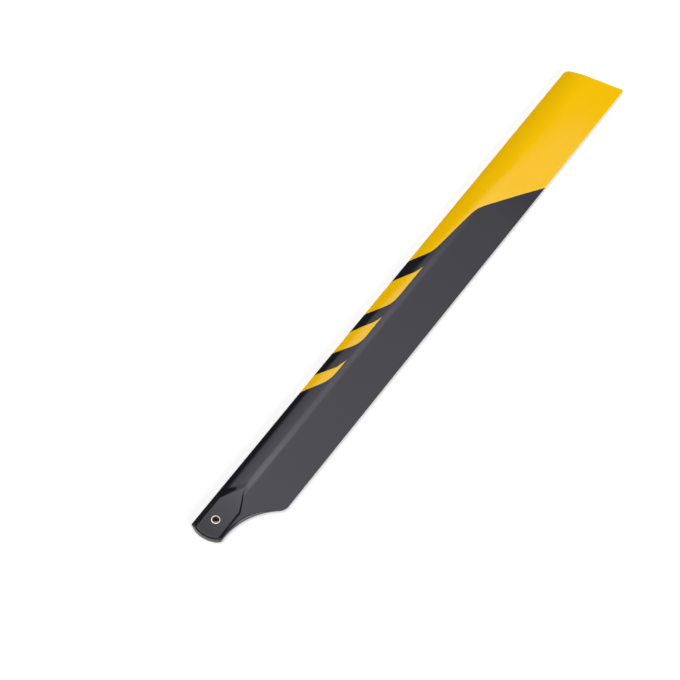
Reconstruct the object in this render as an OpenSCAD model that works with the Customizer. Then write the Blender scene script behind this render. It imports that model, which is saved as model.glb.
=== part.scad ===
// Main rotor blade for a small model helicopter: one moulded blade with a bushed bolt hole.
// X runs from the bolt hole to the tip, Y towards the leading edge and Z along the bolt.
// The origin is the middle of the bolt hole, on the chord plane.

/* [Planform] */
// Bolt hole centre to the tip's trailing corner, before it is rounded
blade_l = 325; // [200:1:420]
// Leading edge to trailing edge
chord = 30.5; // [26:0.5:42]
// Leading edge to the bolt hole's centre
hole_back = 8.1; // [8:0.1:10]
// Sweep of the tip's end: the trailing edge reaches further out
tip_rake = 16; // [4:1:30]
// Radius of the tip's leading corner
tip_lead_r = 3.5; // [1:0.25:8]
// Radius of the tip's trailing corner
tip_trail_r = 0.8; // [0.4:0.1:3]

/* [Section] */
// Greatest thickness of the aerofoil
foil_t = 4.3; // [3.2:0.1:4.4]
// Leading edge to the thickest line
ridge_back = 9.1; // [8:0.1:12]
// Radius of the leading edge's nose
nose_r = 1; // [0.6:0.05:1.4]
// Thickness of the trailing edge
trail_t = 0.6; // [0.3:0.05:1]

/* [Root] */
// Thickness between the two grip faces
root_t = 4.5; // [4.45:0.05:6]
// Bolt hole centre to the root's end
root_end = 9.7; // [7:0.1:14]
// Radius of the root's rounded end
root_end_r = 14; // [11:0.5:30]
// How far the middle of the rounded end lies towards the leading edge
end_mid_y = 0.9; // [0:0.1:1.5]
// Chamfer along the grip faces' rounded end
end_bevel = 0.4; // [0.2:0.05:0.8]
// Bolt hole centre to the root's trailing side
neck_back = 8; // [7:0.1:9]
// Start of the cut-out between the root and the trailing edge, inboard of the bolt hole
cut_start = 4.3; // [2:0.1:6]
// Radius of the cut-out
cut_r = 34.5; // [28:0.5:50]
// Radius of the corner between the cut-out and the trailing edge
cut_corner_r = 6; // [1:0.5:10]
// Bolt hole centre to the grip face's leading side
pad_lead = 5.2; // [4.5:0.1:5.4]
// Bolt hole centre to the grip face's trailing side
pad_trail = 6.4; // [4.5:0.1:7]
// Bolt hole centre to the shoulders where the grip face starts to narrow
pad_shoulder = 9.5; // [6:0.5:14]
// Bolt hole centre to the grip face's point
pad_point = 22.5; // [18:0.5:30]
// Slope of the grip face's trailing sides, from the chord plane
trail_slope = 40; // [40:1:60]
// Slope of the grip face's leading side, down to the leading edge's nose
lead_slope = 32; // [31:1:60]
// Slope of the wide side along the grip face's leading taper
taper_slope = 17; // [15:1:30]

/* [Bush] */
// Bore for the grip's bolt
bolt_d = 3; // [2:0.1:3.4]
// Outer diameter of the bush, and of its seat in the blade
bush_d = 4.3; // [4:0.1:6]
// Chamfer at each mouth of the bore
mouth = 0.25; // [0.05:0.05:0.3]

/* [Hidden] */
$fn = 96;

// How far cutting tools run past what they cut
over = 10;
// How far the outline stands off the aerofoil's own edges
clear = 0.05;
// Steps along each arc of the section and each round of the outline
arc_steps = 16;

lead_y = hole_back;
trail_y = hole_back - chord;

// Main arc of the section: it touches the nose circle, and its top is the ridge
half_t = foil_t / 2;
nose_y = lead_y - nose_r;
ridge_y = lead_y - ridge_back;
ridge_to_nose = nose_y - ridge_y;
main_r = (ridge_to_nose * ridge_to_nose / (half_t - nose_r) + nose_r + half_t) / 2;
main_z = half_t - main_r;

// Where the main arc ends: at the nose, and where the flat to the trailing edge leaves it
nose_turn = atan2(-main_z, ridge_to_nose);
trail_reach = [trail_y - ridge_y, trail_t / 2 - main_z];
flat_turn = atan2(trail_reach.y, trail_reach.x) - acos(main_r / norm(trail_reach));

// Tip's leading corner, and the centre of the root end's arc
tip_lead_x = blade_l - chord * tan(tip_rake);
end_arc = [root_end_r - root_end, end_mid_y];

// Cut-out: its centre, the centre of its corner round, and the turn where they touch
cut_mid = [-cut_start, -neck_back - cut_r];
corner_up = trail_y - clear + cut_corner_r - cut_mid.y;
corner_run = sqrt((cut_r + cut_corner_r) * (cut_r + cut_corner_r) - corner_up * corner_up);
corner_turn = atan2(corner_up, corner_run);

// Middle line of the grip face
pad_mid_y = (pad_lead - pad_trail) / 2;

// Points along an arc about a centre, from one angle to another
function arc(centre, r, from, to) =
    [for (i = [0 : arc_steps])
        let (a = from + (to - from) * i / arc_steps)
        centre + r * [cos(a), sin(a)]];

// Round for a corner whose two sides face along angles a and b, with the turn from a to b
function round_corner(corner, r, a, b) =
    let (middle = (a + b) / 2)
    arc(corner - r / cos((b - a) / 2) * [cos(middle), sin(middle)], r, a, b);

// Aerofoil section: a round nose, two long arcs and two flats to a blunt trailing edge
module foil_section() {
    upper = arc([ridge_y, main_z], main_r, flat_turn, nose_turn);
    nose = arc([nose_y, 0], nose_r, nose_turn, -nose_turn);
    lower = arc([ridge_y, -main_z], main_r, -nose_turn, -flat_turn);
    polygon(concat(
        [[trail_y, -trail_t / 2], [trail_y, trail_t / 2]],
        upper,
        [for (i = [1 : arc_steps - 1]) nose[i]],
        lower
    ));
}

// Outline from above: a raked tip, a rounded root end and the cut-out behind the root
module planform() {
    difference() {
        polygon(concat(
            [[-root_end - over, -neck_back]],
            arc(cut_mid, cut_r, 90, corner_turn),
            arc(cut_mid + [corner_run, corner_up], cut_corner_r, corner_turn + 180, 270),
            round_corner([blade_l, trail_y - clear], tip_trail_r, -90, tip_rake),
            round_corner([tip_lead_x, lead_y + clear], tip_lead_r, tip_rake, 90),
            [[-root_end - over, lead_y + clear]]
        ));
        difference() {
            translate([-root_end - 2 * over, -chord])
                square([root_end_r + 2 * over, 2 * chord]);
            translate(end_arc)
                circle(r = root_end_r, $fn = 360);
        }
    }
}

// The aerofoil, from past the root's end to past the tip
module foil() {
    translate([-root_end - over, 0, 0])
        rotate([90, 0, 90])
            linear_extrude(blade_l + root_end + 2 * over)
                foil_section();
}

// Everything inside one side of the grip block: the side slopes down from the grip face's edge,
// which runs through a point along a direction, with the block on its left
module grip_side(point, turn, slope) {
    spread = root_t / 2 / tan(slope);
    translate(point)
        rotate(turn)
            rotate([90, 0, 90])
                linear_extrude(4 * chord, center = true)
                    polygon([
                        [-spread, 0],
                        [0, -root_t / 2],
                        [chord, -root_t / 2],
                        [chord, root_t / 2],
                        [0, root_t / 2]
                    ]);
}

// Grip block: two grip faces with parallel sides that narrow to a point on the ridge. It ends inside
// the leading edge's nose.
module grip_block() {
    taper_l = pad_point - pad_shoulder;
    half_w = (pad_lead + pad_trail) / 2;
    block_l = 4 * chord;
    intersection() {
        translate([-block_l / 2, nose_y + nose_r / 2 - block_l, -root_t])
            cube([block_l, block_l, 2 * root_t]);
        grip_side([0, -pad_trail], 0, trail_slope);
        grip_side([pad_point, pad_mid_y], atan2(half_w, taper_l), trail_slope);
        grip_side([pad_point, pad_mid_y], atan2(half_w, -taper_l), taper_slope);
        grip_side([0, pad_lead], 180, lead_slope);
    }
}

// Cutter for the chamfer along one grip face's rounded end
module end_cutter() {
    sweep = 150;
    translate([end_arc.x, end_arc.y, root_t / 2])
        rotate(180 - sweep / 2)
            rotate_extrude(angle = sweep, $fn = 360)
                translate([root_end_r, 0])
                    polygon(end_bevel * [[-2, 1], [1, -2], [1, 1]]);
}

module blade() {
    color("#303034")
        difference() {
            intersection() {
                union() {
                    foil();
                    grip_block();
                }
                translate([0, 0, -root_t])
                    linear_extrude(2 * root_t)
                        planform();
            }
            for (face = [0, 1])
                mirror([0, 0, face])
                    end_cutter();
            cylinder(d = bush_d, h = 2 * root_t, center = true);
        }
}

// Metal sleeve that lines the bolt hole, flush with both grip faces
module root_bush() {
    color("#d8b878")
        difference() {
            cylinder(d = bush_d, h = root_t, center = true);
            cylinder(d = bolt_d, h = 2 * root_t, center = true);
            for (face = [0, 1])
                mirror([0, 0, face])
                    translate([0, 0, root_t / 2 - mouth])
                        cylinder(d1 = bolt_d, d2 = bolt_d + 4 * mouth, h = 2 * mouth);
        }
}

blade();
root_bush();
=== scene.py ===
"""Painted main rotor blade of a small model helicopter, with a brass bush in its bolt hole."""

import math

import bmesh
import bpy
from mathutils import Matrix, Vector


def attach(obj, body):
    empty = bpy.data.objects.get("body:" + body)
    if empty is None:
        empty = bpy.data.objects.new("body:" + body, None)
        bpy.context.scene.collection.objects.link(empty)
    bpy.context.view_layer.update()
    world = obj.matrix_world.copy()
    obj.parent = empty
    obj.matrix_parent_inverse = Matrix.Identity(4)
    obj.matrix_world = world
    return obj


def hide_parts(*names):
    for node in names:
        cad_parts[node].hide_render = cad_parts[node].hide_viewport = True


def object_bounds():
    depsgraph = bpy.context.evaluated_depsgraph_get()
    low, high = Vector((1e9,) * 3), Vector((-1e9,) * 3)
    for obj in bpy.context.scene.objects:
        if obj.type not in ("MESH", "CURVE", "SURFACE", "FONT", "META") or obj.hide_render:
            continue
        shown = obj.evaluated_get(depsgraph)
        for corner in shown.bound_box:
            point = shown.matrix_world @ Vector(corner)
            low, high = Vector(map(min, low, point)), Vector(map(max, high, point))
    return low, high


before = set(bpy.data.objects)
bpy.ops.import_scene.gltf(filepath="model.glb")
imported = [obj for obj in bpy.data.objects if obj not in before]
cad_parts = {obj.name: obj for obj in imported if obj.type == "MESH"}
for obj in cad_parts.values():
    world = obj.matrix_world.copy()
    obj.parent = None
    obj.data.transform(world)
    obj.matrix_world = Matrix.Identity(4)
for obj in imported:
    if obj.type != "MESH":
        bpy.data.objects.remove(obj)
cad_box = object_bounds()

MM = 0.001

# Outline, in millimetres: X runs from the bolt hole to the tip, Y towards the leading edge
BLADE_L = 325
CHORD = 30.5
LEAD_Y = 8.1
TRAIL_Y = LEAD_Y - CHORD
TIP_RAKE = math.radians(16)
TIP_LEAD_R = 3.5
TIP_TRAIL_R = 0.8
ROOT_END = 9.7
ROOT_END_R = 14
END_MID_Y = 0.9
NECK_BACK = 8
CUT_START = 4.3
CUT_R = 34.5
CUT_CORNER_R = 6

# Section: a round nose, a long arc over the ridge and a flat to the trailing edge
HALF_T = 2.15
NOSE_R = 1
NOSE_Y = LEAD_Y - NOSE_R
RIDGE_BACK = 9.1
RIDGE_Y = LEAD_Y - RIDGE_BACK
TRAIL_HALF_T = 0.3
NOSE_REACH = NOSE_Y - RIDGE_Y
MAIN_R = (NOSE_REACH ** 2 / (HALF_T - NOSE_R) + NOSE_R + HALF_T) / 2
MAIN_Z = HALF_T - MAIN_R
NOSE_TURN = math.atan2(-MAIN_Z, NOSE_REACH)
TRAIL_REACH = Vector((TRAIL_Y - RIDGE_Y, TRAIL_HALF_T - MAIN_Z))
FLAT_TURN = math.atan2(TRAIL_REACH.y, TRAIL_REACH.x) - math.acos(MAIN_R / TRAIL_REACH.length)

# Grip faces at the root: parallel sides up to the shoulders, then a taper to a point on the ridge
ROOT_HALF_T = 2.25
PAD_LEAD = 5.2
PAD_TRAIL = 6.4
PAD_HALF_W = (PAD_LEAD + PAD_TRAIL) / 2
PAD_MID_Y = (PAD_LEAD - PAD_TRAIL) / 2
PAD_SHOULDER = 9.5
PAD_POINT = 22.5
TAPER_L = PAD_POINT - PAD_SHOULDER
TRAIL_SLOPE = math.tan(math.radians(40))
LEAD_SLOPE = math.tan(math.radians(32))
TAPER_SLOPE = math.tan(math.radians(18))
PAD_ROUND = 0.4

# The grip block reaches no further out or forward than this
BLOCK_OUT = PAD_POINT + 2
BLOCK_FRONT = NOSE_Y + NOSE_R / 2

# Towards the point the leading taper is rounded off more and the trailing one grows flatter. Both are
# shifted, so that the grip face keeps its outline.
POINT_ROUNDING = 2.6
TAPER_SHIFT = 0.15
ROUND_SHIFT = 0.33
TRAIL_FADE = 0.85
TRAIL_FADE_RUN = (0.4, 0.9)
TRAIL_FADE_SHIFT = 0.65

# Fillet along the foot of the grip's sides, which is tighter on the leading side near the root
FOOT_FILLET = 0.2
LEAD_FILLET = 0.08
FILLET_RUN = (14, 20)

# Round along the blade's edge, which grows with the half thickness there. A rounded end takes off no more
# than a share of the half thickness.
EDGE_ROUND = 0.16
THICK_EDGE_ROUND = 1.1
THICK_EDGE = (0.4, 1.5)
MOST_LOWERED = 0.45

# Chamfer along the root's end: how far down and in from the corner each of its rings lies, in widths
END_BEVEL = 0.6
END_STEPS = ((1.12, 0.0), (1.0, 0.03), (0.88, 0.12), (0.12, 0.88), (0.03, 1.0))
END_RUN = END_STEPS[0][0] * END_BEVEL

# Bush
BUSH_R = 2.15
BORE_R = 1.5
MOUTH = 0.25
RIM_ROUND = 0.06
TURNED_SIDES = 96

# Mesh: rings along the root, the plain blade and the tip, and points across half a ring. The points over
# the top are counted off from the nose to the grip's leading foot and edge, its trailing edge and foot,
# and the blade's edge.
ROOT_RINGS = 112
PLAIN_RINGS = 20
TIP_RINGS = 24
NOSE_POINTS = 10
TOP_POINTS = (12, 16, 36, 14, 30)
ROUND_POINTS = 6
LEAST_HALF_W = 1
LEAST_SIDE = 0.8
PLAIN_FROM = 32
PLAIN_TO = 300
EDGE_TRIES = 8
FOOT_HALVINGS = 30
TRAIL_HALVINGS = 40
CLOSE = 0.001

# Where two faces meet at a greater angle than this, in degrees, their edge stays sharp
BLADE_SHARP = 50
BUSH_SHARP = 40


def soft_max(a, b, blend):
    """The greater of two values, with a small fillet where they cross."""
    return max(a, b) + max(blend - abs(a - b), 0) ** 2 / (4 * blend)


def ease(value, start, end):
    """0 before start and 1 past end, with a soft change between."""
    part = min(max((value - start) / (end - start), 0), 1)
    return part * part * (3 - 2 * part)


def foil_height(y):
    """Half thickness of the aerofoil."""
    if y > NOSE_Y + NOSE_R * math.cos(NOSE_TURN):
        return math.sqrt(max(NOSE_R ** 2 - (y - NOSE_Y) ** 2, 0))
    if y > RIDGE_Y + MAIN_R * math.cos(FLAT_TURN):
        return MAIN_Z + math.sqrt(MAIN_R ** 2 - (y - RIDGE_Y) ** 2)
    return TRAIL_HALF_T + (y - TRAIL_Y) / -math.tan(FLAT_TURN)


def pad_height(x, y):
    """Half thickness of the grip block: flat on top, with sides that slope away."""
    aside = abs(y - PAD_MID_Y)
    past_side = aside - PAD_HALF_W
    past_taper = ((x - PAD_POINT) * PAD_HALF_W + aside * TAPER_L) / math.hypot(PAD_HALF_W, TAPER_L)
    along_taper = (x - PAD_SHOULDER) * TAPER_L + (PAD_HALF_W - aside) * PAD_HALF_W
    to_point = along_taper / (PAD_HALF_W ** 2 + TAPER_L ** 2)
    if y > PAD_MID_Y:
        rounding = POINT_ROUNDING * min(max(to_point, 0), 1) ** 2
        past_taper -= TAPER_SHIFT + ROUND_SHIFT * rounding
        side_slope = LEAD_SLOPE
        taper_slope = TAPER_SLOPE
    else:
        rounding = 0
        fade = ease(to_point, *TRAIL_FADE_RUN)
        past_taper += TRAIL_FADE_SHIFT * fade
        side_slope = TRAIL_SLOPE
        taper_slope = TRAIL_SLOPE * (1 - TRAIL_FADE * fade)
    side_fall = side_slope * soft_max(past_side, 0, PAD_ROUND)
    taper_fall = taper_slope * soft_max(past_taper, 0, PAD_ROUND + rounding)
    hip_round = CLOSE + min(side_fall, taper_fall) / 2
    return ROOT_HALF_T - soft_max(side_fall, taper_fall, hip_round)


def grip_half_w(x):
    """Half width of the grip face, which narrows to a point."""
    return PAD_HALF_W * min(max((PAD_POINT - x) / TAPER_L, 0), 1)


def grip_foot(outline_x, start, end):
    """Where the grip's side meets the aerofoil along a ring, from the grip face's edge to the blade's."""
    for _ in range(FOOT_HALVINGS):
        middle = (start + end) / 2
        if pad_height(outline_x(middle), middle) > foil_height(middle):
            start = middle
        else:
            end = middle
    return start


def top_height(x, y):
    """Half thickness of the blade."""
    foil = foil_height(y)
    if x > BLOCK_OUT or y > BLOCK_FRONT:
        return foil
    tight = (FOOT_FILLET - LEAD_FILLET) * (1 - ease(x, *FILLET_RUN)) * (y > PAD_MID_Y)
    return min(soft_max(foil, pad_height(x, y), FOOT_FILLET - tight), ROOT_HALF_T)


def end_x(y):
    """Outline of the root's rounded end."""
    return ROOT_END_R - ROOT_END - math.sqrt(ROOT_END_R ** 2 - (y - END_MID_Y) ** 2)


def cut_y(x):
    """Outline of the neck, the cut-out, its rounded corner and the trailing edge past it."""
    corner_up = TRAIL_Y + CUT_CORNER_R + NECK_BACK + CUT_R
    corner_run = math.sqrt((CUT_R + CUT_CORNER_R) ** 2 - corner_up ** 2)
    run = x + CUT_START
    if run < 0:
        return -NECK_BACK
    if run < corner_run * CUT_R / (CUT_R + CUT_CORNER_R):
        return math.sqrt(CUT_R ** 2 - run ** 2) - NECK_BACK - CUT_R
    if run < corner_run:
        return TRAIL_Y + CUT_CORNER_R - math.sqrt(CUT_CORNER_R ** 2 - (run - corner_run) ** 2)
    return TRAIL_Y


def tip_x(y):
    """Outline of the raked tip, with both its corners rounded."""
    rake = math.tan(TIP_RAKE)
    lead_up = y - (LEAD_Y - TIP_LEAD_R)
    trail_up = y - (TRAIL_Y + TIP_TRAIL_R)
    if lead_up > TIP_LEAD_R * math.sin(TIP_RAKE):
        middle = BLADE_L - (CHORD - TIP_LEAD_R) * rake - TIP_LEAD_R / math.cos(TIP_RAKE)
        return middle + math.sqrt(max(TIP_LEAD_R ** 2 - lead_up ** 2, 0))
    if trail_up < TIP_TRAIL_R * math.sin(TIP_RAKE):
        middle = BLADE_L - TIP_TRAIL_R * rake - TIP_TRAIL_R / math.cos(TIP_RAKE)
        return middle + math.sqrt(max(TIP_TRAIL_R ** 2 - trail_up ** 2, 0))
    return BLADE_L - (y - TRAIL_Y) * rake


def lowered(height, lift):
    """A height brought down on a rounded end, by less where the blade is thin."""
    return height - min(lift, MOST_LOWERED * height)


def across(outline_x, first, last):
    """Where a ring's points lie, from the nose back: gathered along the grip's edges, even past it."""
    lead = PAD_MID_Y
    trail = PAD_MID_Y
    for _ in range(EDGE_TRIES):
        lead = PAD_MID_Y + max(grip_half_w(outline_x(lead)), LEAST_HALF_W)
        trail = PAD_MID_Y - max(grip_half_w(outline_x(trail)), LEAST_HALF_W)
    lead_foot = max(grip_foot(outline_x, lead, first), lead + LEAST_SIDE)
    trail_foot = min(grip_foot(outline_x, trail, last), trail - LEAST_SIDE)
    knots = (
        first,
        min(lead_foot, first - LEAST_SIDE / 2),
        lead,
        trail,
        max(trail_foot, last + LEAST_SIDE / 2),
        last,
    )
    even_share = ease(outline_x(PAD_MID_Y), PAD_POINT, PLAIN_FROM)
    places = []
    for start, end, count in zip(knots, knots[1:], TOP_POINTS):
        for i in range(count):
            gathered = start + (end - start) * (1 - math.cos(math.pi * i / count)) / 2
            even = first + (last - first) * len(places) / sum(TOP_POINTS)
            places.append(gathered + (even - gathered) * even_share)
    return places


def edge_round(height):
    """Radius of the round along the blade's edge, which is larger where the blade is thick."""
    return EDGE_ROUND + (THICK_EDGE_ROUND - EDGE_ROUND) * ease(height, *THICK_EDGE)


def ring_points(outline_x, trail, lift, draw):
    """Points round one ring of the blade, from the leading edge over the top and back below.

    outline_x gives the ring's x at each y, trail is where the ring ends behind, lift is how far the
    ring has come down on a rounded end, and draw moves it along the blade."""
    nose = [NOSE_Y + NOSE_R * math.cos(NOSE_TURN * i / NOSE_POINTS) for i in range(NOSE_POINTS)]
    first = NOSE_Y + NOSE_R * math.cos(NOSE_TURN)
    edge_r = edge_round(top_height(outline_x(trail) + draw, trail))
    last = trail + edge_r
    half = []
    for y in nose + across(lambda y: outline_x(y) + draw, first, last):
        x = outline_x(y) + draw
        half.append((x, y, lowered(top_height(x, y), lift)))
    edge_z = top_height(outline_x(last) + draw, last)
    for i in range(ROUND_POINTS + 1):
        turn = math.pi / 2 * i / ROUND_POINTS
        y = last - edge_r * math.sin(turn)
        drop = edge_r * (1 - math.cos(turn))
        half.append((outline_x(y) + draw, y, lowered(edge_z - drop, lift)))
    half.append((outline_x(trail) + draw, trail, 0))
    return half + [(x, y, -z) for x, y, z in reversed(half[:-1])]


def rings():
    """Every ring from the root's end to the tip, with a rounded run at both ends."""
    def root_line(part):
        return lambda y: (1 - part) * end_x(max(y, -NECK_BACK)) + part * PLAIN_FROM

    def tip_line(part):
        return lambda y: (1 - part) * PLAIN_TO + part * tip_x(y)

    def root_trail(line):
        low = TRAIL_Y
        high = 0
        for _ in range(TRAIL_HALVINGS):
            middle = (low + high) / 2
            if middle < cut_y(line(middle)):
                low = middle
            else:
                high = middle
        return high

    made = []
    end_line = root_line(0)
    for down, inward in END_STEPS:
        made.append(ring_points(end_line, root_trail(end_line), down * END_BEVEL, inward * END_BEVEL))
    for i in range(ROOT_RINGS):
        line = root_line(i / ROOT_RINGS)
        made.append(ring_points(line, root_trail(line), 0, END_RUN * (1 - i / ROOT_RINGS)))
    for i in range(PLAIN_RINGS):
        x = PLAIN_FROM + (PLAIN_TO - PLAIN_FROM) * i / PLAIN_RINGS
        made.append(ring_points(lambda y: x, TRAIL_Y, 0, 0))
    for i in range(TIP_RINGS + 1):
        part = i / TIP_RINGS
        made.append(ring_points(tip_line(part), TRAIL_Y, 0, -EDGE_ROUND * part))
    for i in range(ROUND_POINTS):
        turn = math.pi / 2 * (i + 1) / ROUND_POINTS
        lift = EDGE_ROUND * (1 - math.cos(turn))
        draw = -EDGE_ROUND * (1 - math.sin(turn))
        made.append(ring_points(tip_line(1), TRAIL_Y, lift, draw))
    return made


def bore(piece, r):
    """Bores an upright hole through a piece at the origin."""
    bpy.ops.object.select_all(action="DESELECT")
    bpy.ops.mesh.primitive_cylinder_add(vertices=TURNED_SIDES, radius=r * MM, depth=4 * ROOT_HALF_T * MM)
    drill = bpy.context.object
    step = piece.modifiers.new("bore", "BOOLEAN")
    step.operation = "DIFFERENCE"
    step.solver = "EXACT"
    step.object = drill
    bpy.context.view_layer.objects.active = piece
    bpy.ops.object.modifier_apply(modifier=step.name)
    bpy.data.objects.remove(drill)


def painted_blade():
    """The blade: a sheet rolled into rings along the span, closed at both ends and bored."""
    made = rings()
    bpy.ops.object.select_all(action="DESELECT")
    bpy.ops.mesh.primitive_grid_add(
        x_subdivisions=len(made[0]) - 1, y_subdivisions=len(made) - 1, size=1
    )
    blade = bpy.context.object
    blade.name = "painted_blade"
    places = [value * MM for ring in made for point in ring for value in point]
    blade.data.vertices.foreach_set("co", places)
    blade.data.update()

    bpy.ops.object.mode_set(mode="EDIT")
    bpy.ops.mesh.select_mode(type="EDGE")
    bpy.ops.mesh.select_all(action="SELECT")
    bpy.ops.mesh.remove_doubles(threshold=CLOSE * MM)
    bpy.ops.mesh.select_all(action="DESELECT")
    bpy.ops.mesh.select_non_manifold(
        extend=False, use_wire=False, use_multi_face=False, use_verts=False
    )
    bpy.ops.mesh.extrude_region_move()
    bpy.ops.transform.resize(value=(1, 1, 0), center_override=(0, 0, 0))
    bpy.ops.mesh.select_all(action="SELECT")
    bpy.ops.mesh.remove_doubles(threshold=CLOSE * MM)
    bpy.ops.mesh.dissolve_degenerate(threshold=CLOSE * MM)
    bpy.ops.mesh.normals_make_consistent(inside=False)
    bpy.ops.object.mode_set(mode="OBJECT")
    bore(blade, BUSH_R)
    return blade


def pick(kind, test):
    """Selects the edges or faces, of the mesh in edit mode, whose place passes the test."""
    bpy.ops.mesh.select_mode(type=kind)
    bpy.ops.mesh.select_all(action="DESELECT")
    data = bpy.context.object.data
    mesh = bmesh.from_edit_mesh(data)
    parts = mesh.edges if kind == "EDGE" else mesh.faces
    for part in parts:
        part.select_set(test(part))
    mesh.select_flush_mode()
    bmesh.update_edit_mesh(data)


def brass_bush():
    """The bush: a turned sleeve with chamfered mouths and a small round on its outer rims."""
    near_end = 0.99
    rim_gap = 0.02
    level = 0.9
    bpy.ops.object.select_all(action="DESELECT")
    bpy.ops.mesh.primitive_cylinder_add(
        vertices=TURNED_SIDES, radius=BUSH_R * MM, depth=2 * ROOT_HALF_T * MM
    )
    bush = bpy.context.object
    bush.name = "brass_bush"

    def on_rim(r):
        """Test for the edges that run round a rim of either end."""
        def test(edge):
            first, second = (vert.co for vert in edge.verts)
            at_end = abs(first.z + second.z) > 2 * near_end * ROOT_HALF_T * MM
            off = abs(first.xy.length - r * MM) + abs(second.xy.length - r * MM)
            return at_end and off < rim_gap * MM
        return test

    bpy.ops.object.mode_set(mode="EDIT")
    pick("FACE", lambda face: abs(face.normal.z) > level)
    bpy.ops.mesh.inset(thickness=(BUSH_R - BORE_R) * MM)
    bpy.ops.mesh.bridge_edge_loops()
    pick("EDGE", on_rim(BORE_R))
    bpy.ops.mesh.bevel(offset=MOUTH * MM, segments=1, affect="EDGES")
    pick("EDGE", on_rim(BUSH_R))
    bpy.ops.mesh.bevel(offset=RIM_ROUND * MM, segments=3, affect="EDGES")
    bpy.ops.mesh.select_all(action="SELECT")
    bpy.ops.mesh.normals_make_consistent(inside=False)
    bpy.ops.object.mode_set(mode="OBJECT")
    return bush


def smooth(piece, angle):
    """Shades a piece smooth, with its sharp edges kept."""
    bpy.ops.object.select_all(action="DESELECT")
    bpy.context.view_layer.objects.active = piece
    piece.select_set(True)
    bpy.ops.object.shade_smooth_by_angle(angle=math.radians(angle))


class Value:
    """A number that varies from place to place. Arithmetic on it adds Math nodes to its tree."""

    def __init__(self, nodes, socket):
        self.nodes = nodes
        self.socket = socket

    def math(self, operation, *others):
        """Adds a Math node that takes this value first."""
        sockets = {0: self}
        sockets.update(enumerate(others, 1))
        return self.nodes.value("ShaderNodeMath", {"operation": operation}, sockets)

    def __add__(self, other):
        return self.math("ADD", other)

    def __radd__(self, other):
        return self.math("ADD", other)

    def __sub__(self, other):
        return self.math("SUBTRACT", other)

    def __rsub__(self, other):
        return self.nodes.value("ShaderNodeMath", {"operation": "SUBTRACT"}, {0: other, 1: self})

    def __mul__(self, other):
        return self.math("MULTIPLY", other)

    def __rmul__(self, other):
        return self.math("MULTIPLY", other)

    def __truediv__(self, other):
        return self.math("DIVIDE", other)

    def __neg__(self):
        return self.math("MULTIPLY", -1)

    def __abs__(self):
        return self.math("ABSOLUTE")


class Nodes:
    """A node tree under construction."""

    def __init__(self, tree):
        self.tree = tree
        self.tree.nodes.clear()

    def node(self, kind, settings=None, sockets=None):
        """Adds a node: its settings are set first, then its sockets are given values or links."""
        node = self.tree.nodes.new(kind)
        for name, setting in (settings or {}).items():
            setattr(node, name, setting)
        for name, given in (sockets or {}).items():
            socket = node.inputs[name]
            if isinstance(given, Value):
                self.tree.links.new(given.socket, socket)
            elif isinstance(given, bpy.types.NodeSocket):
                self.tree.links.new(given, socket)
            else:
                socket.default_value = given
        return node

    def value(self, kind, settings=None, sockets=None, output=0):
        """Adds a node and gives one of its outputs as a value."""
        return Value(self, self.node(kind, settings, sockets).outputs[output])

    def step(self, value, start, end):
        """0 before start and 1 past end, with a soft change between."""
        return self.value(
            "ShaderNodeMapRange",
            {"interpolation_type": "SMOOTHSTEP"},
            {"Value": value, "From Min": start, "From Max": end},
        )

    def blend(self, factor, first, second):
        """Mixes two colours."""
        node = self.node(
            "ShaderNodeMix", {"data_type": "RGBA"}, {"Factor": factor, 6: first, 7: second}
        )
        return node.outputs[2]

    def split(self, vector):
        """The x, y and z of a vector."""
        node = self.node("ShaderNodeSeparateXYZ", {}, {0: vector})
        return [Value(self, socket) for socket in node.outputs]

    def place_mm(self):
        """The place on the part, in millimetres."""
        place = self.node("ShaderNodeTexCoord").outputs["Object"]
        node = self.node("ShaderNodeVectorMath", {"operation": "SCALE"}, {0: place, "Scale": 1 / MM})
        return node.outputs[0]


def new_material(name):
    """An empty material that is made of nodes."""
    material = bpy.data.materials.new(name)
    material.use_nodes = True
    return material


# Paint, in millimetres: each edge starts on the leading edge and falls back at a slope.
# A flash has an inboard edge, an outboard edge and the place of its point. The field is the yellow tip.
FLASHES = (
    (77.6, 0.605, 89.1, 0.65, 106.0),
    (104.3, 0.67, 118.8, 0.56, 136.2),
    (131.6, 0.63, 154.7, 0.58, 172.2),
)
FLASH_SIDE = 8.6
FLASH_ROUND = 4.4
POINT_FALL = 0.25
POINT_ROUND = 0.8
FIELD_LEAD = (169.5, 0.585)
FIELD_MIDDLE = (106.3, 0.098)
FIELD_TRAIL = (199.1, 0.611)
FIELD_LEAD_ROUND = 2.5
FIELD_TRAIL_ROUND = 3.3
NOSE_WRAP = (math.pi / 2 - 1) * NOSE_R
EDGE_SOFT = 0.12

# Each finish varies between two colours, in soft clouds. The yellow stands a little proud of the black, and
# both have a fine orange peel.
BLACKS = ((0.0085, 0.0085, 0.0105, 1), (0.0125, 0.012, 0.0145, 1))
YELLOWS = ((0.89, 0.515, 0.0004, 1), (0.93, 0.545, 0.001, 1))
CLOUD_NOISE = {"Scale": 0.05, "Detail": 3.0}
PEEL_NOISE = {"Scale": 0.9, "Detail": 2.0}
PEEL_DEPTH = 0.0008
PAINT_STEP = 0.02
PAINT_BUMP = 0.6
PAINT_ROUGHNESS = 0.035
ROUGHNESS_CHANGE = 0.03
PAINT_IOR = 1.5


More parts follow.
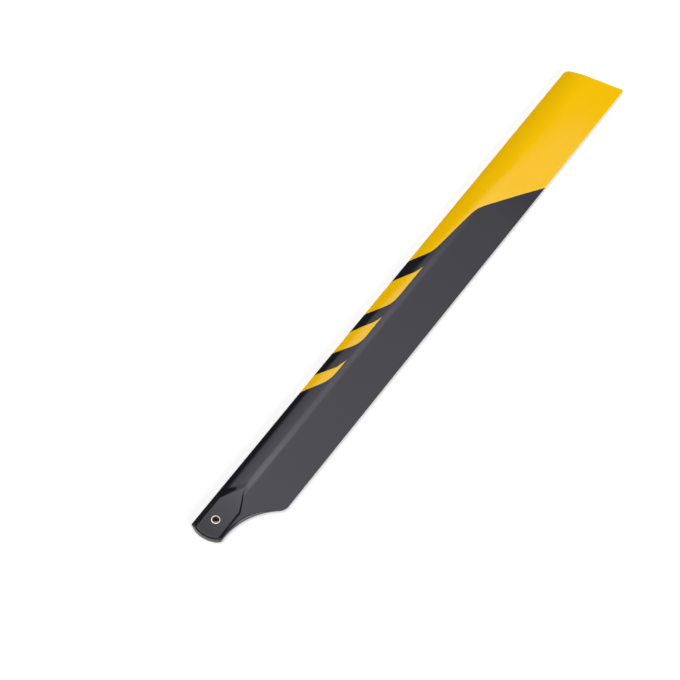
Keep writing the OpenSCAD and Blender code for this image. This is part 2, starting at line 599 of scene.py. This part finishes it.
def blade_paint():
    """Gloss black with yellow flashes and a yellow tip, sprayed through masks."""
    material = new_material("blade_gloss_paint")
    nodes = Nodes(material.node_tree)
    place = nodes.place_mm()
    x, y, z = nodes.split(place)
    back = LEAD_Y - y + NOSE_WRAP * abs(z).math("MINIMUM", NOSE_R)

    def past(start, fall):
        """How far outboard of a slanted edge a point lies."""
        return ((x - start) * fall - back) / math.hypot(1, fall)

    yellow = past(*FIELD_LEAD).math("SMOOTH_MIN", past(*FIELD_MIDDLE), FIELD_LEAD_ROUND)
    yellow = yellow.math("SMOOTH_MAX", past(*FIELD_TRAIL), FIELD_TRAIL_ROUND)
    for start, fall, end, end_fall, point in FLASHES:
        flash = past(start, fall).math("SMOOTH_MIN", FLASH_SIDE - back, FLASH_ROUND)
        flat = past(point - FLASH_SIDE / POINT_FALL, POINT_FALL)
        outer = (-past(end, end_fall)).math("SMOOTH_MAX", -flat, POINT_ROUND)
        yellow = yellow.math("MAXIMUM", flash.math("MINIMUM", outer))
    mask = nodes.step(yellow, -EDGE_SOFT, EDGE_SOFT)

    cloud = nodes.value("ShaderNodeTexNoise", {}, {"Vector": place, **CLOUD_NOISE})
    peel = nodes.value("ShaderNodeTexNoise", {}, {"Vector": place, **PEEL_NOISE})
    colour = nodes.blend(mask, nodes.blend(cloud, *BLACKS), nodes.blend(cloud, *YELLOWS))
    height = mask * PAINT_STEP + peel * PEEL_DEPTH
    bump = nodes.node("ShaderNodeBump", {}, {"Strength": PAINT_BUMP, "Distance": MM, "Height": height})
    shader = nodes.node(
        "ShaderNodeBsdfPrincipled",
        {},
        {
            "Base Color": colour,
            "Roughness": PAINT_ROUGHNESS + cloud * ROUGHNESS_CHANGE,
            "Normal": bump.outputs[0],
            "IOR": PAINT_IOR,
        },
    )
    nodes.node("ShaderNodeOutputMaterial", {}, {"Surface": shader.outputs[0]})
    return material


# Brass: bright on the rims, with painted shade inside the bore and its mouth, where the colour is darkened.
# The turning marks are a wave, given as its radians in each millimetre across the bore and along it.
BRIGHT_BRASS = ((0.76, 0.67, 0.50, 1), (0.86, 0.79, 0.64, 1))
SHADED_BORE_BRASS = ((0.09, 0.07, 0.035, 1), (0.14, 0.11, 0.06, 1))
STAIN_NOISE = {"Scale": 1.2, "Detail": 3.0}
RIM_SOFT = 0.08
MARKS_ACROSS = 70
MARKS_ALONG = 25
MARK_DEPTH = 0.006
MARK_BUMP = 0.3
BORE_METALLIC = 0.6
BORE_ROUGHNESS = 0.55
RIM_ROUGHNESS = 0.25
STAIN_ROUGHNESS = 0.1


def turned_brass():
    """Bright brass with fine turning marks round the bore, and painted shade inside the bore."""
    material = new_material("bush_turned_brass")
    nodes = Nodes(material.node_tree)
    place = nodes.place_mm()
    x, y, z = nodes.split(place)
    radius = (x * x + y * y).math("SQRT")
    marks = (radius * MARKS_ACROSS + z * MARKS_ALONG).math("SINE") * 0.5 + 0.5
    stain = nodes.value("ShaderNodeTexNoise", {}, {"Vector": place, **STAIN_NOISE})
    bright = nodes.blend(stain, *BRIGHT_BRASS)
    # Painted shade: a darkened copy of the brass for the bore and its mouth
    bore_shade = nodes.blend(stain, *SHADED_BORE_BRASS)
    rim = nodes.step(radius, BORE_R + MOUTH - RIM_SOFT, BORE_R + MOUTH)
    roughness = BORE_ROUGHNESS - rim * (BORE_ROUGHNESS - RIM_ROUGHNESS) + stain * STAIN_ROUGHNESS
    height = marks * MARK_DEPTH
    bump = nodes.node("ShaderNodeBump", {}, {"Strength": MARK_BUMP, "Distance": MM, "Height": height})
    shader = nodes.node(
        "ShaderNodeBsdfPrincipled",
        {},
        {
            "Base Color": nodes.blend(rim, bore_shade, bright),
            "Metallic": BORE_METALLIC + rim * (1 - BORE_METALLIC),
            "Roughness": roughness,
            "Normal": bump.outputs[0],
        },
    )
    nodes.node("ShaderNodeOutputMaterial", {}, {"Surface": shader.outputs[0]})
    return material


# Floor: its size in metres, its distance below the part in millimetres, and the glow that whitens it
# where it is seen, apart from the spot under the bolt hole, which is left without glow as painted shade
FLOOR_SIZE = 16
FLOOR_GAP = 0.02
FLOOR_COLOUR = (0.815, 0.828, 0.746, 1)
FLOOR_GLOW = 0.32


def pale_floor():
    """Plain pale floor just below the lower grip face, with painted shade in a spot under the bolt hole."""
    bpy.ops.object.select_all(action="DESELECT")
    bpy.ops.mesh.primitive_plane_add(
        size=FLOOR_SIZE, location=(0, 0, cad_box[0][2] - FLOOR_GAP * MM)
    )
    floor = bpy.context.object
    floor.name = "floor"
    material = new_material("pale_floor")
    nodes = Nodes(material.node_tree)
    path = nodes.node("ShaderNodeLightPath")
    seen = Value(nodes, path.outputs["Is Camera Ray"])
    seen = seen.math("MAXIMUM", Value(nodes, path.outputs["Is Glossy Ray"]))
    seen = seen.math("MAXIMUM", Value(nodes, path.outputs["Is Transmission Ray"]))
    place = nodes.node("ShaderNodeTexCoord").outputs["Object"]
    out = nodes.value("ShaderNodeVectorMath", {"operation": "LENGTH"}, {0: place}, "Value")
    # Painted shade: the glow fades out near the bolt hole's axis, so the floor seen through the bore stays
    # dark
    seen = seen * nodes.step(out, BORE_R * MM, 2 * BORE_R * MM)
    matt = nodes.node("ShaderNodeBsdfDiffuse", {}, {"Color": FLOOR_COLOUR})
    glow = nodes.node("ShaderNodeEmission", {}, {"Color": seen * FLOOR_GLOW, "Strength": 1.0})
    both = nodes.node("ShaderNodeAddShader", {}, {0: matt.outputs[0], 1: glow.outputs[0]})
    nodes.node("ShaderNodeOutputMaterial", {}, {"Surface": both.outputs[0]})
    floor.data.materials.append(material)


# Studio light, by direction: how far a direction runs along the blade and over it, for each step up.
# Each pair is where a soft change starts and ends.
LEAST_UP = 0.02
LIGHT_TINT = (0.97, 0.955, 1.06, 1)
ROOM_LEVEL = 0.03

# Overhead panel: brightest towards the root, with a bent edge towards the tip and a dark seam
PANEL_LEVEL = 1.85
PANEL_FALL = 3.3
FALL_FROM = 0.40
FALL_LEAST = 0.33
FALL_MOST = 0.66
TIP_EDGE = (0.634, 0.611)
TIP_EDGE_BENDS = (((0.12, 0.05), 0.010), ((0.0585, 0.0515), 0.034))
TIP_DIM_RUN = (0.600, 0.625)
TIP_DIM = 0.25
ROOT_EDGE = (-1.9, -1.4)
ROOT_LIFT_RUN = (-0.1, -0.5)
ROOT_LIFT = 0.4
SEAM_AT = 0.385
SEAM_SIDES = (0.038, 0.022)
SEAM_RUN = (0.12, 0.20)
SEAM_DEPTH = 0.42
LEAD_EDGE = (0.86, 0.66)
LEAD_DIM_RUN = (0.38, 0.62)
LEAD_DIM = 0.10
TRAIL_EDGE = (-0.36, -0.18)
TRAIL_DIM_RUN = (-0.35, -0.05)
TRAIL_LEVEL = 0.6

# Bright streak along the panel's middle, stronger near the root
STREAK_RUN = (0.64, 0.54)
STREAK_LEVEL = 0.75
ROOT_STREAK_RUN = (0.48, 0.436)
ROOT_STREAK_LEVEL = 1.1
STREAK_AT = 0.20
STREAK_SIDES = (0.145, 0.05)
STREAK_SKEW = 0.12
STREAK_START = (0.402, 0.412)

# Low key light behind the trailing edge, and the pale horizon
KEY_AIM = Vector((-0.16, -0.93, 0.33))
KEY_SIDES = (0.93, 0.98)
KEY_LEVEL = 9.0
HORIZON_RUN = (0.30, 0.12)
HORIZON_LEVEL = 0.15


def studio_light():
    """A wide soft panel overhead with a bright streak, and a low key light, in a dim room."""
    world = bpy.data.worlds.new("studio")
    world.use_nodes = True
    bpy.context.scene.world = world
    nodes = Nodes(world.node_tree)
    aim = nodes.node("ShaderNodeTexCoord").outputs["Generated"]
    x, y, z = nodes.split(aim)
    up = z.math("MAXIMUM", LEAST_UP)
    along = x / up
    over = y / up

    reach = along.math("MAXIMUM", FALL_LEAST).math("MINIMUM", FALL_MOST)
    edge = along
    for run, bend in TIP_EDGE_BENDS:
        edge = edge - nodes.step(over, *run) * bend
    seam = nodes.step(abs(along - SEAM_AT), *SEAM_SIDES) * nodes.step(over, *SEAM_RUN)
    panel = PANEL_LEVEL - (reach - FALL_FROM) * PANEL_FALL
    panel = panel * (1 - nodes.step(along, *TIP_DIM_RUN) * TIP_DIM)
    panel = panel * nodes.step(edge, *TIP_EDGE)
    panel = panel * nodes.step(along, *ROOT_EDGE)
    panel = panel * (1 + nodes.step(along, *ROOT_LIFT_RUN) * ROOT_LIFT)
    panel = panel * (1 - seam * SEAM_DEPTH)
    panel = panel * nodes.step(over, *LEAD_EDGE)
    panel = panel * (1 - nodes.step(over, *LEAD_DIM_RUN) * LEAD_DIM)
    panel = panel * nodes.step(over, *TRAIL_EDGE)
    panel = panel * (TRAIL_LEVEL + nodes.step(over, *TRAIL_DIM_RUN) * (1 - TRAIL_LEVEL))

    streak = nodes.step(along, *STREAK_RUN) * STREAK_LEVEL
    streak = streak + nodes.step(along, *ROOT_STREAK_RUN) * ROOT_STREAK_LEVEL
    streak = streak * nodes.step(abs(over - STREAK_AT), *STREAK_SIDES)
    streak = streak * nodes.step(along - over * STREAK_SKEW, *STREAK_START)

    aim_to_key = nodes.value(
        "ShaderNodeVectorMath", {"operation": "DOT_PRODUCT"}, {0: aim, 1: KEY_AIM.normalized()}, "Value"
    )
    key = nodes.step(aim_to_key, *KEY_SIDES) * KEY_LEVEL
    horizon = nodes.step(z, *HORIZON_RUN) * HORIZON_LEVEL
    strength = ROOM_LEVEL + panel + streak + key + horizon
    sky = nodes.node("ShaderNodeBackground", {}, {"Color": LIGHT_TINT, "Strength": strength})
    nodes.node("ShaderNodeOutputWorld", {}, {"Surface": sky.outputs[0]})


def photo_camera():
    """Camera at the photograph's viewing angle."""
    place = Vector((-457.718, -275.116, 1097.975)) * MM
    right = Vector((0.56851, -0.81836, 0.08414))
    up = Vector((0.68850, 0.52927, 0.49583))
    forward = Vector((0.45030, 0.22395, -0.86433))
    data = bpy.data.cameras.new("photo_camera")
    data.lens = 139.87
    data.sensor_width = 36
    data.sensor_fit = "HORIZONTAL"
    data.clip_start = 0.01
    data.clip_end = 50
    camera = bpy.data.objects.new("photo_camera", data)
    turn = Matrix((right, up, -forward)).transposed().to_4x4()
    camera.matrix_world = Matrix.Translation(place) @ turn
    bpy.context.scene.collection.objects.link(camera)
    bpy.context.scene.camera = camera


photo_camera()

blade = painted_blade()
smooth(blade, BLADE_SHARP)
blade.data.materials.append(blade_paint())
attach(blade, "root")
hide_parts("blade")

bush = brass_bush()
smooth(bush, BUSH_SHARP)
bush.data.materials.append(turned_brass())
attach(bush, "root")
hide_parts("root_bush")

pale_floor()
studio_light()
bpy.context.scene.view_settings.view_transform = "Standard"
